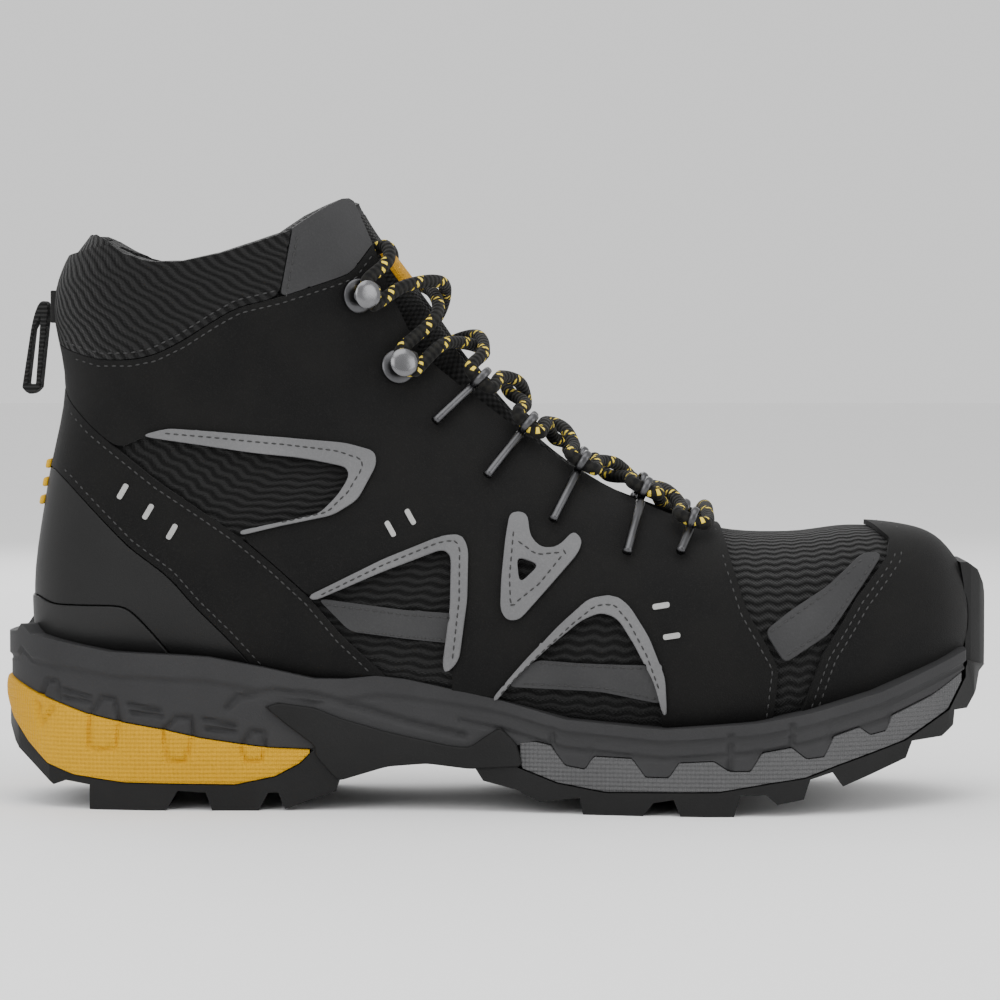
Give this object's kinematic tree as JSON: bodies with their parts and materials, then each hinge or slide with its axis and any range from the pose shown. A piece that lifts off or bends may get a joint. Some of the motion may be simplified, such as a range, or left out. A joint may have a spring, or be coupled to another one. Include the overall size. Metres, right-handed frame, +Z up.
{
  "type": "hiking boot",
  "caption": "Mid-height lace-up hiking boot for the right foot: lugged sole with a cushioned heel, mesh upper under nubuck panels, lace keepers and hooks, padded tongue and heel pull loop.",
  "frame": {"origin": "on the ground, under the middle of the boot's box", "axes": "+X to the toe, +Y to the inner side of the right foot, +Z up"},
  "size_m": [0.3044, 0.113, 0.185],
  "materials": {
    "outsole_rubber": "matte",
    "cushion_yellow": "satin",
    "insert_grey": "matte",
    "midsole_foam": "matte",
    "steel": "satin",
    "fibre_board": "matte",
    "lining_fabric": "matte",
    "black_mesh": "matte",
    "footbed_foam": "matte",
    "black_nubuck": "matte",
    "moulded_synthetic": "satin",
    "dark_grey_leather": "matte",
    "grey_trim": "matte",
    "tongue_fabric": "matte",
    "label_yellow": "satin",
    "hook_metal": "satin",
    "lace_cord": "matte",
    "aglet_plastic": "gloss",
    "webbing": "matte"
  },
  "bodies": {
    "boot": {"outsole": "outsole_rubber", "heel_cushion": "cushion_yellow", "forefoot_insert_lateral": "insert_grey", "forefoot_insert_medial": "insert_grey", "midsole": "midsole_foam", "shank": "steel", "heel_counter": "fibre_board", "toe_cap": "steel", "lining": "lining_fabric", "upper_shell": "black_mesh", "lasting_board": "fibre_board", "heel_strap": "black_nubuck", "heel_panel": "moulded_synthetic", "heel_cup": "moulded_synthetic", "collar_mesh": "black_mesh", "toe_guard": "black_nubuck", "collar_front_lateral": "dark_grey_leather", "quarter_lateral": "black_nubuck", "mid_band_lateral": "dark_grey_leather", "front_band_lateral": "dark_grey_leather", "vamp_strip_lateral": "dark_grey_leather", "rear_trim_lateral": "grey_trim", "mid_trim_lateral": "grey_trim", "front_trim_lateral": "grey_trim", "wing_trim_lateral": "grey_trim", "collar_front_medial": "dark_grey_leather", "quarter_medial": "black_nubuck", "mid_band_medial": "dark_grey_leather", "front_band_medial": "dark_grey_leather", "vamp_strip_medial": "dark_grey_leather", "rear_trim_medial": "grey_trim", "mid_trim_medial": "grey_trim", "front_trim_medial": "grey_trim", "wing_trim_medial": "grey_trim", "lace_keeper_lateral_1": "hook_metal", "lace_keeper_lateral_2": "hook_metal", "lace_keeper_lateral_3": "hook_metal", "lace_keeper_lateral_4": "hook_metal", "lace_keeper_lateral_5": "hook_metal", "lace_hook_low_lateral": "hook_metal", "lace_hook_high_lateral": "hook_metal", "lace_keeper_medial_1": "hook_metal", "lace_keeper_medial_2": "hook_metal", "lace_keeper_medial_3": "hook_metal", "lace_keeper_medial_4": "hook_metal", "lace_keeper_medial_5": "hook_metal", "lace_hook_low_medial": "hook_metal", "lace_hook_high_medial": "hook_metal", "lace": "lace_cord", "lace_tip_lateral": "aglet_plastic", "lace_tip_medial": "aglet_plastic", "pull_loop_anchor": "webbing", "heel_rib_1": "label_yellow", "heel_rib_2": "label_yellow", "heel_rib_3": "label_yellow"},
    "tongue": {"tongue": "tongue_fabric", "tongue_label": "label_yellow"},
    "pull_loop": {"pull_loop": "webbing"},
    "footbed": {"footbed": "footbed_foam"}
  },
  "joints": [
    {"name": "tongue_tilt", "type": "hinge", "parent": "boot", "child": "tongue", "pos_m": [0.0677, 0.0005, 0.0745], "axis": [0, -1, 0], "range_deg": [0, 10], "stiffness_Nm_per_rad": 1.5},
    {"name": "pull_loop_swing", "type": "hinge", "parent": "boot", "child": "pull_loop", "pos_m": [-0.14057, -0.0005, 0.15248], "axis": [0, 1, 0], "range_deg": [0, 115]},
    {"name": "footbed_lift", "type": "hinge", "parent": "boot", "child": "footbed", "pos_m": [0.131, 0.004, 0.057], "axis": [0, 1, 0], "range_deg": [0, 6]}
  ]
}
